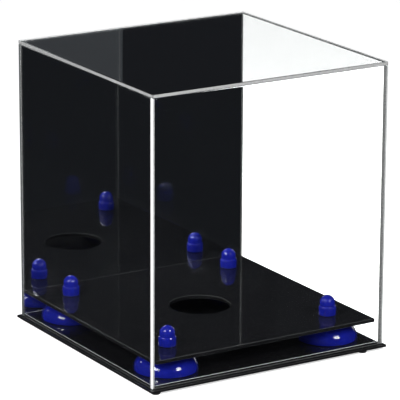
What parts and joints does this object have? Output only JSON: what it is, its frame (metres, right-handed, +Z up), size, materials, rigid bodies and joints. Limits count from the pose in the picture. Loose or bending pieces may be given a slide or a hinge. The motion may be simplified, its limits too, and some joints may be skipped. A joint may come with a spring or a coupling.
{
  "type": "ball display case",
  "caption": "Clear display case with a mirror back that lifts off a black base, with a raised platform and a round seat for a soccer ball.",
  "frame": {"origin": "middle of the square base, on the surface that the feet stand on", "axes": "+Z up, -Y towards the front, +Y towards the mirror, +X to the right as seen from the front"},
  "size_m": [0.305, 0.305, 0.3307],
  "materials": {
    "black_acrylic": "polished black acrylic sheet",
    "blue_plastic": "glossy moulded plastic",
    "zinc_steel": "zinc plated",
    "black_rubber": "matt",
    "clear_acrylic": "clear acrylic sheet with polished edges",
    "mirror_silver": "mirror-backed acrylic sheet"
  },
  "bodies": {
    "base": {"base_plate": "black_acrylic", "base_inlay": "black_acrylic", "riser_platform": "black_acrylic", "post_dome_front_left": "blue_plastic", "post_dome_front_right": "blue_plastic", "post_dome_back_left": "blue_plastic", "post_dome_back_right": "blue_plastic", "post_cap_front_left": "blue_plastic", "post_cap_front_right": "blue_plastic", "post_cap_back_left": "blue_plastic", "post_cap_back_right": "blue_plastic", "post_screw_front_left": "zinc_steel", "post_screw_front_right": "zinc_steel", "post_screw_back_left": "zinc_steel", "post_screw_back_right": "zinc_steel", "foot_front_left": "black_rubber", "foot_front_right": "black_rubber", "foot_back_left": "black_rubber", "foot_back_right": "black_rubber"},
    "cover": {"cover_top": "clear_acrylic", "cover_front": "clear_acrylic", "cover_left": "clear_acrylic", "cover_right": "clear_acrylic", "mirror_back": "mirror_silver"}
  },
  "joints": [
    {"name": "cover_lift", "type": "slide", "parent": "base", "child": "cover", "axis": [0, 0, 1], "range_m": [0, 0.26]}
  ]
}
